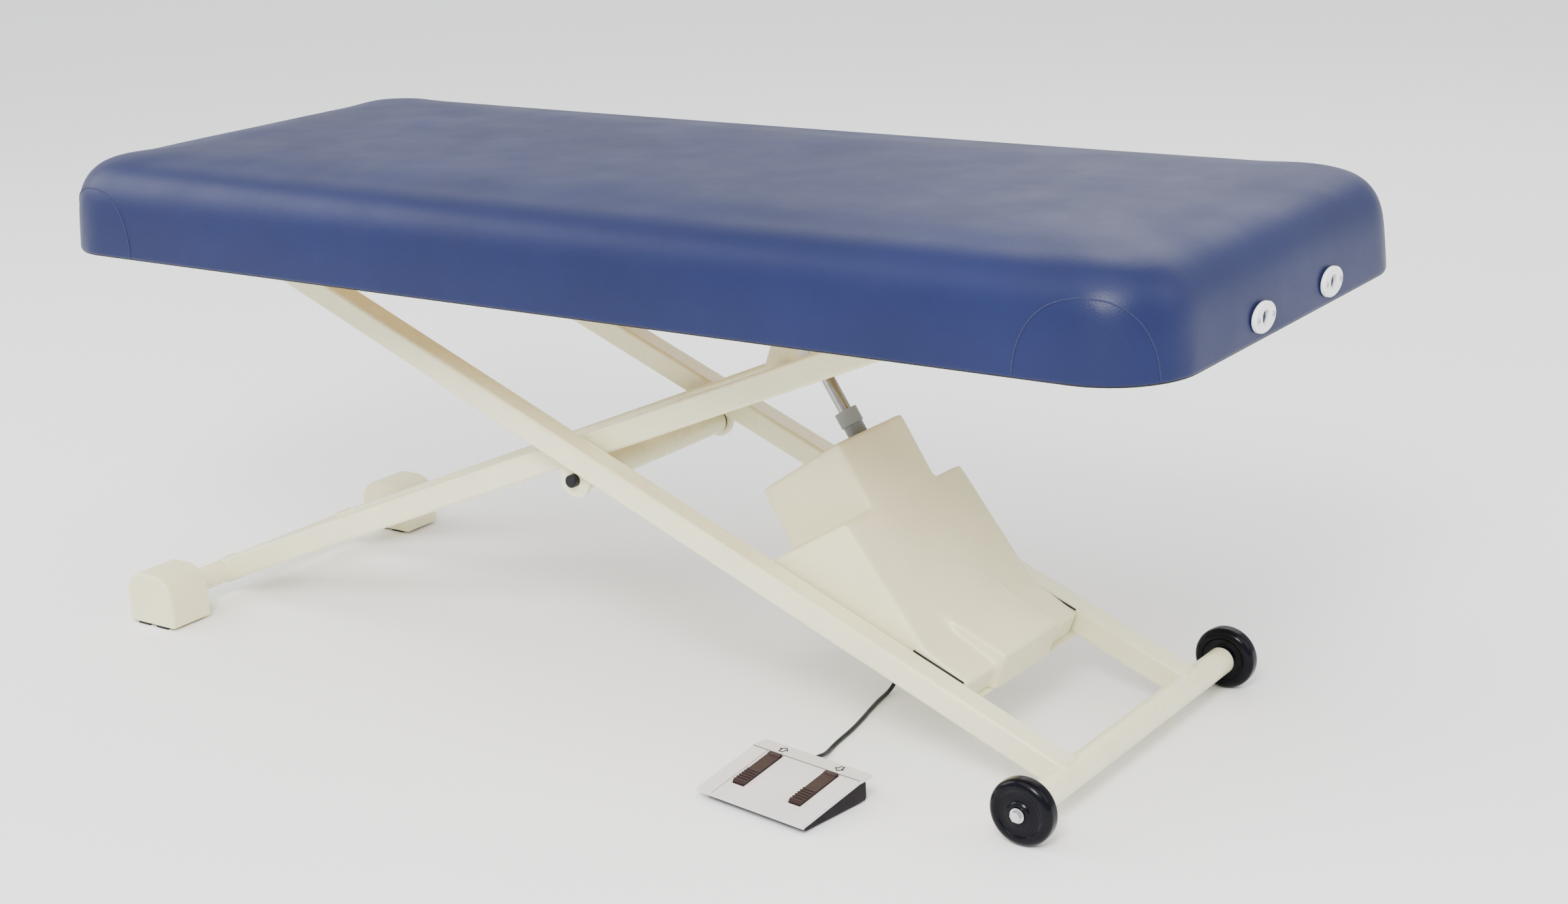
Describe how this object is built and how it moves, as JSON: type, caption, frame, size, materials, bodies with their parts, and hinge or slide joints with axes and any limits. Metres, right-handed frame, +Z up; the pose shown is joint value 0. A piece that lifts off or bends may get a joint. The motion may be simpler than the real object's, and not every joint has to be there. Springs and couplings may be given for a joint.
{
  "type": "electric treatment table",
  "caption": "Padded examination table on a powered scissor lift, with wheels at one end, headrest sockets and a corded two-pedal foot switch.",
  "frame": {"origin": "middle of the base of the whole object, at floor level", "axes": "+X along the table towards the wheels and headrest sockets, +Y away from the foot switch, +Z up"},
  "size_m": [1.8706, 0.7976, 0.767],
  "materials": {
    "vinyl": "satin",
    "frame_paint": "satin",
    "cover_plastic": "matte",
    "foot_plastic": "matte",
    "rubber_black": "matte",
    "wheel_black": "gloss",
    "black_plastic": "satin",
    "zinc": "satin",
    "steel_tray": "satin",
    "chrome_rod": "polished",
    "actuator_grey": "satin",
    "collar_grey": "satin",
    "cast_alloy": "cast",
    "bronze": "turned",
    "plywood": "raw",
    "rail_wood": "raw",
    "foam": "open cell",
    "nylon_white": "satin",
    "switch_light": "satin",
    "switch_dark": "matte",
    "pedal_brown": "satin",
    "cord_black": "satin"
  },
  "bodies": {
    "foot": {"foot_caps": "foot_plastic", "foot_pads": "rubber_black"},
    "inner_frame": {"foot_tube": "frame_paint", "inner_arm_near": "frame_paint", "inner_arm_far": "frame_paint", "pivot_tube": "frame_paint", "pivot_bushes": "nylon_white", "lift_bracket": "frame_paint", "upper_pin": "zinc", "roller_tube": "zinc"},
    "outer_frame": {"outer_arm_near": "frame_paint", "outer_arm_far": "frame_paint", "pivot_lugs": "frame_paint", "pivot_shaft": "zinc", "pivot_washers": "black_plastic", "pivot_caps": "black_plastic", "axle_tube": "frame_paint", "wheel_bolts": "zinc", "deck_tube": "frame_paint", "deck_tube_bushes": "nylon_white", "cross_bar": "frame_paint", "lower_pin": "zinc", "motor_cover": "cover_plastic", "tray": "steel_tray", "cord_glands": "black_plastic", "control_box": "black_plastic", "cover_screws": "zinc", "cord": "cord_black"},
    "deck": {"deck_board": "plywood", "foam_slab": "foam", "edge_foam": "foam", "vinyl_cover": "vinyl", "apron_rails": "rail_wood", "roller_channels": "zinc", "pivot_brackets": "zinc", "deck_fasteners": "zinc", "socket_plates": "nylon_white", "socket_sleeves": "zinc", "socket_screws": "zinc"},
    "actuator": {"gearbox": "cast_alloy", "motor": "actuator_grey", "actuator_tube": "actuator_grey", "tube_collar": "collar_grey", "lead_screw": "zinc"},
    "rod": {"actuator_rod": "chrome_rod", "rod_nut": "bronze", "rod_bush": "rubber_black"},
    "wheel_near": {"wheel_near": "wheel_black"},
    "wheel_far": {"wheel_far": "wheel_black"},
    "roller_near": {"roller_near": "nylon_white"},
    "roller_far": {"roller_far": "nylon_white"},
    "foot_switch": {"switch_base": "switch_dark", "switch_shell": "switch_light", "switch_feet": "rubber_black", "dome_up": "rubber_black", "dome_down": "rubber_black", "microswitches": "black_plastic", "cord_boot": "rubber_black"},
    "pedal_up": {"pedal_up": "pedal_brown"},
    "pedal_down": {"pedal_down": "pedal_brown"}
  },
  "joints": [
    {"name": "lift", "type": "hinge", "parent": "foot", "child": "inner_frame", "pos_m": [-0.88432, 0.01778, 0.045], "axis": [0, -1, 0], "range_deg": [-6, 6]},
    {"name": "scissor", "type": "hinge", "parent": "inner_frame", "child": "outer_frame", "pos_m": [-0.08888, 0.01778, 0.32686], "axis": [0, -1, 0], "range_deg": [-12, 12]},
    {"name": "deck_level", "type": "hinge", "parent": "outer_frame", "child": "deck", "pos_m": [-0.791, 0.01778, 0.65492], "axis": [0, -1, 0], "range_deg": [-6, 6]},
    {"name": "switch_level", "type": "hinge", "parent": "outer_frame", "child": "foot_switch", "pos_m": [0.70656, 0.01778, 0.045], "axis": [0, -1, 0], "range_deg": [-6, 6], "deforming": ["cord"]},
    {"name": "actuator_swing", "type": "hinge", "parent": "outer_frame", "child": "actuator", "pos_m": [0.43669, 0.01778, 0.15718], "axis": [0, -1, 0], "range_deg": [-0.2, 0.2]},
    {"name": "rod_extend", "type": "slide", "parent": "actuator", "child": "rod", "axis": [-0.538, 0, 0.8429], "range_m": [-0.075, 0.075], "deforming": ["rod_bush"]},
    {"name": "wheel_near_roll", "type": "hinge", "parent": "outer_frame", "child": "wheel_near", "pos_m": [0.70656, -0.27621, 0.045], "axis": [0, 1, 0], "continuous": true},
    {"name": "wheel_far_roll", "type": "hinge", "parent": "outer_frame", "child": "wheel_far", "pos_m": [0.70656, 0.31178, 0.045], "axis": [0, 1, 0], "continuous": true},
    {"name": "roller_near_roll", "type": "hinge", "parent": "inner_frame", "child": "roller_near", "pos_m": [0.61324, -0.15621, 0.65492], "axis": [0, 1, 0], "continuous": true},
    {"name": "roller_far_roll", "type": "hinge", "parent": "inner_frame", "child": "roller_far", "pos_m": [0.61324, 0.19179, 0.65492], "axis": [0, 1, 0], "continuous": true},
    {"name": "pedal_up_press", "type": "hinge", "parent": "foot_switch", "child": "pedal_up", "pos_m": [0.32762, -0.27661, 0.027], "axis": [0.9903, -0.1392, 0], "range_deg": [0, 3.4], "stiffness_Nm_per_rad": 12, "springref_deg": -1.72, "deforming": ["dome_up"]},
    {"name": "pedal_down_press", "type": "hinge", "parent": "foot_switch", "child": "pedal_down", "pos_m": [0.42664, -0.29052, 0.027], "axis": [0.9903, -0.1392, 0], "range_deg": [0, 3.4], "stiffness_Nm_per_rad": 12, "springref_deg": -1.72, "deforming": ["dome_down"]}
  ],
  "couplings": [
    {"joint": "scissor", "follows": "lift", "ratio": -2},
    {"joint": "deck_level", "follows": "lift", "ratio": 1},
    {"joint": "switch_level", "follows": "lift", "ratio": 1},
    {"joint": "actuator_swing", "follows": "lift", "ratio": -0.02734},
    {"joint": "rod_extend", "follows": "lift", "m_per_rad": 0.70608}
  ]
}
